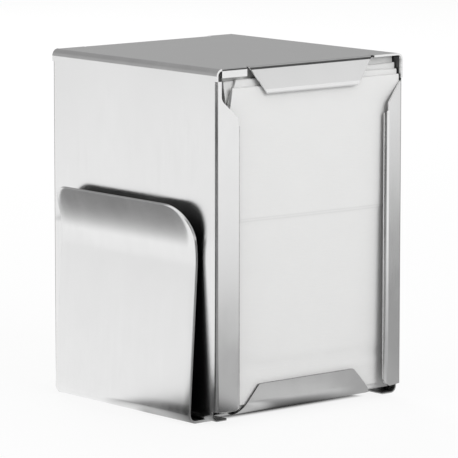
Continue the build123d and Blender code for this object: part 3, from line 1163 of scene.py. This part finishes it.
@dataclass
class Studio:
    """The pale floor, the soft light, what the steel mirrors, and the camera.

    Attributes:
        floor_radius: The round floor's radius.
        floor_colour: Its grey.
        floor_glow: How bright the bare floor looks in the steel.
        floor_white: How much of the floor is plain white to the camera. The rest shows the shadow.
        floor_bounce: Its grey for the light that it throws back onto the object.
        shade_edge: How far from the middle the shade under the holder shows in full.
        shade_soft: How wide its soft edge is.
        floor_cards: What else lies on it for the steel to mirror.
        sky_glow: How bright the bare studio looks in the steel.
        sky_cards: What else stands in it for the steel to mirror.
        daylight: How bright the studio's walls and ceiling are on the object.
        lamp_size: How wide each broad lamp is.
        lamps: Each broad lamp's place and its power in watts.
        flag_x: From where to where the dark flag beside the clip lies along X.
        flag_y: The same along Y.
        flag_slant: How much less far forward it reaches on its outer side.
        flag_z: How high it lies.
        flag_fade: Where along X it has become as dark as it gets.
        flag_levels: How bright it looks in the steel, next to the clip and away from it.
        azimuth: Where the camera stands, in degrees: 0 looks along Y.
        elevation: How high it stands, in degrees.
        distance: From the camera to what it looks at.
        target: What it looks at.
        lens: Its focal length in millimetres.
        sensor: How wide its sensor is, in millimetres.
        shift: How far the picture is shifted to the right and up, as a share of its width.
    """

    floor_radius: float = 6.0
    floor_colour: float = 0.97
    floor_glow: float = 1.0
    floor_white: float = 0.86
    floor_bounce: float = 0.60
    shade_edge: float = 35.0 * MM
    shade_soft: float = 5.0 * MM
    floor_cards: tuple[Card, ...] = (
        # The floor before the window, which the holder shades, with a lighter strip near it
        Card(0.42, (-14.0, 58.0), (-1.0, 0.33), soft_reach=0.40),
        Card(0.36, (54.0, 80.0), (-1.0, 0.66), soft_reach=0.70),
        Card(0.59, (0.0, 30.0), (0.050, 0.105), soft_reach=0.02),
        # The dark right side of the studio
        Card(0.27, (75.0, 200.0), (-1.0, 7.0), soft_around=6.0),
        # The dark side where the camera stands, and a lighter patch of floor in it
        Card(0.04, (-103.0, -17.0), (0.055, 3.0), soft_reach=0.03),
        Card(0.36, (-64.0, -27.0), (0.12, 0.54), soft_around=24.0, soft_reach=0.30),
        # The far floor on the left, past its bright part
        Card(0.41, (-200.0, -100.0), (2.4, 7.0), soft_reach=0.6),
        # The contact shade
        Card(0.02, (-80.0, 190.0), (-1.0, 0.047), soft_reach=0.020),
    )
    sky_glow: float = 1.0
    sky_cards: tuple[Card, ...] = (
        # The grey walls all round, a dark one before the window, and the dim back with its darker band
        Card(0.55, (-200.0, 200.0), (0.13, 0.85)),
        Card(0.08, (5.0, 85.0), (0.20, 0.80), soft_around=30.0, soft_reach=0.08),
        Card(0.41, (95.0, 255.0), (-1.0, 0.72), soft_around=30.0),
        Card(0.33, (110.0, 250.0), (0.42, 0.75), soft_around=30.0, soft_reach=0.2),
    )
    daylight: float = 0.68
    lamp_size: float = 0.9
    lamps: tuple[tuple[tuple[float, float, float], float], ...] = (
        ((0.05, -1.38, 0.60), 8.0),
        ((0.55, 1.30, 0.80), 7.0),
    )
    flag_x: tuple[float, float] = (-68.0 * MM, -46.1 * MM)
    flag_y: tuple[float, float] = (-34.0 * MM, 60.0 * MM)
    flag_slant: float = 26.0 * MM
    flag_z: float = 65.0 * MM
    flag_fade: float = -59.0 * MM
    flag_levels: tuple[float, float] = (0.97, 0.20)
    azimuth: float = -40.3
    elevation: float = 8.39
    distance: float = 1.4633
    target: tuple[float, float, float] = (3.305 * MM, 0.0, 67.0 * MM)
    lens: float = 301.3
    sensor: float = 36.0
    shift: tuple[float, float] = (0.0049, -0.0191)

    def build(self) -> None:
        """Makes the whole studio."""
        self.floor()
        self.world()
        for place, power in self.lamps:
            self.lamp(Vector(place), power)
        self.flag()
        self.camera()

    @staticmethod
    def _around(graph: Graph, x: Wire, y: Wire) -> Wire:
        """The way round the holder in degrees, 0 in front of the window and 90 on the right."""
        return graph.math("ARCTAN2", x, -y) * (180 / math.pi)

    def floor(self) -> None:
        """A plain pale floor, wide enough to fill the view."""
        disc = bmesh.new()
        bmesh.ops.create_circle(disc, cap_ends=True, segments=96, radius=self.floor_radius)
        mesh = bpy.data.meshes.new("floor")
        disc.to_mesh(mesh)
        disc.free()
        material = bpy.data.materials.new("studio_floor")
        graph = Graph.emptied(material)
        x, y, _ = graph.split(graph.coordinates())
        around, away = self._around(graph, x, y), x.diagonal(y)
        beside = abs(x).most(abs(y)).smooth(self.shade_edge, self.shade_edge + self.shade_soft)
        from_camera = graph.ray("Camera")
        grey = graph.mix(from_camera, self.floor_bounce, self.floor_colour)
        seen = graph.node("ShaderNodeBsdfDiffuse", None, {"Color": grey})
        level = self.floor_glow
        for card in self.floor_cards:
            level = card.over(graph, level, around, away)
        white = graph.node("ShaderNodeEmission", None, {"Strength": 1.0})
        share = from_camera * beside * self.floor_white
        seen = graph.node("ShaderNodeMixShader", None, {0: share, 1: seen, 2: white})
        mirrored = graph.node("ShaderNodeEmission", None, {"Strength": level})
        inputs = {0: graph.ray("Glossy"), 1: seen, 2: mirrored}
        surface = graph.node("ShaderNodeMixShader", None, inputs)
        graph.node("ShaderNodeOutputMaterial", None, {"Surface": surface})
        add_piece("floor", mesh, material)

    def world(self) -> None:
        """White for the camera, soft even light on the object, and cards that the steel mirrors."""
        world = bpy.data.worlds.new("studio")
        bpy.context.scene.world = world
        graph = Graph.emptied(world)
        x, y, z = graph.split(graph.coordinates("Generated"))
        around = self._around(graph, x, y)
        level = self.sky_glow
        for card in self.sky_cards:
            level = card.over(graph, level, around, z)
        unseen = graph.mix(graph.ray("Glossy"), self.daylight, level)
        strength = graph.mix(graph.ray("Camera"), unseen, 1.0)
        inputs = {"Color": (1.0, 1.0, 1.0, 1.0), "Strength": strength}
        glow = graph.node("ShaderNodeBackground", None, inputs)
        graph.node("ShaderNodeOutputWorld", None, {"Surface": glow})

    def lamp(self, place: Vector, power: float) -> None:
        """Hangs one broad soft lamp, which the steel doesn't mirror."""
        light = bpy.data.lights.new("broad_lamp", "AREA")
        light.shape, light.size, light.energy = "DISK", self.lamp_size, power
        lamp = bpy.data.objects.new("broad_lamp", light)
        bpy.context.scene.collection.objects.link(lamp)
        lamp.location = place
        lamp.rotation_mode = "QUATERNION"
        lamp.rotation_quaternion = (Vector(self.target) - place).to_track_quat("-Z", "Y")
        lamp.visible_glossy = False
        lamp.visible_camera = False

    def flag(self) -> None:
        """A small dark card beside the clip's neck, which only the steel above it mirrors."""
        x, y, z = self.flag_x, self.flag_y, self.flag_z
        mesh = bpy.data.meshes.new("flag")
        mesh.from_pydata(
            [(x[0], y[0] + self.flag_slant, z), (x[1], y[0], z), (x[1], y[1], z), (x[0], y[1], z)],
            [],
            [(0, 1, 2, 3)],
        )
        material = bpy.data.materials.new("studio_flag")
        graph = Graph.emptied(material)
        away = graph.split(graph.coordinates())[0].smooth(x[1], self.flag_fade)
        near, far = self.flag_levels
        upper = graph.node("ShaderNodeEmission", None, {"Strength": graph.mix(away, near, far)})
        lower = graph.node("ShaderNodeBsdfTransparent")
        from_below = graph.node("ShaderNodeNewGeometry", output="Backfacing")
        surface = graph.node("ShaderNodeMixShader", None, {0: from_below, 1: upper, 2: lower})
        graph.node("ShaderNodeOutputMaterial", None, {"Surface": surface})
        flag = add_piece("flag", mesh, material)
        flag.visible_camera = flag.visible_diffuse = False
        flag.visible_transmission = flag.visible_shadow = False

    def back(self) -> Vector:
        """The unit vector from the target to the camera."""
        around, up = math.radians(self.azimuth), math.radians(self.elevation)
        return Vector(
            (math.sin(around) * math.cos(up), -math.cos(around) * math.cos(up), math.sin(up))
        )

    def camera(self) -> None:
        """The camera at the photograph's angle."""
        lens = bpy.data.cameras.new("camera")
        lens.sensor_width, lens.lens = self.sensor, self.lens
        lens.shift_x, lens.shift_y = self.shift
        lens.clip_start, lens.clip_end = 0.05, 50.0
        camera = bpy.data.objects.new("camera", lens)
        bpy.context.scene.collection.objects.link(camera)
        camera.location = Vector(self.target) + self.back() * self.distance
        camera.rotation_mode = "QUATERNION"
        camera.rotation_quaternion = (-self.back()).to_track_quat("-Z", "Y")
        bpy.context.scene.camera = camera


STEEL = (0.82, 0.82, 0.82)
# The inside of the box, the floor plate's upper face and the clip's inner face get painted shade
BOX_INSIDE = InsideBox(
    middle_x=3.305 * MM,
    flat_x=43.4 * MM,
    flat_y=47.5 * MM,
    flat_z=(3.9 * MM, 129.4 * MM),
    bend=2.2 * MM,
)
BOX_STEEL = SatinSteel("box_steel", STEEL, 0.20, strip=True, painted_shade_side=BOX_INSIDE)
PLATE_STEEL = SatinSteel("plate_steel", STEEL, 0.20, painted_shade_side=FacingSide((0.0, 0.0, 1.0)))
CLIP_STEEL = SatinSteel(
    "clip_steel", STEEL, 0.20, grain=Grain.ACROSS_Y, painted_shade_side=FacingSide((1.0, 0.0, 0.0)), painted_shade_level=0.10
)
INNER_STEEL = SatinSteel("inner_steel", (0.66, 0.66, 0.67), 0.36)
SPRING_WIRE = SpringWire("spring_wire", (0.55, 0.55, 0.56), 0.3)
TISSUE = Tissue("tissue", (0.835, 0.835, 0.83), 0.95)
RUBBER = Rubber("rubber", (0.06, 0.06, 0.06), 0.8)


def turned_steel() -> TurnedSteel:
    """The turned finish, with its rings about the spring axes of the CAD model."""
    lower, upper = (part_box(f"front_{level}_divider_seat") for level in ("lower", "upper"))
    low, high = sum(lower, Vector()) / 2, sum(upper, Vector()) / 2
    return TurnedSteel(
        "turned_steel", (0.62, 0.62, 0.63), 0.3,
        axis_x=low.x, middle_z=(low.z + high.z) / 2, half_spacing=(high.z - low.z) / 2,
    )


def main() -> None:
    """Builds the pieces and the studio, and logs what it makes."""
    logging.basicConfig(level=logging.INFO, format="%(message)s")
    scene = bpy.context.scene
    scene.view_settings.view_transform = "Standard"
    SteelBody(BOX_STEEL, PLATE_STEEL, INNER_STEEL, turned_steel(), RUBBER).dress()
    CardClip(CLIP_STEEL).build()
    NapkinStacks(TISSUE).build()
    SpringSet(SPRING_WIRE).build()
    Studio().build()


if __name__ == "__main__":
    main()
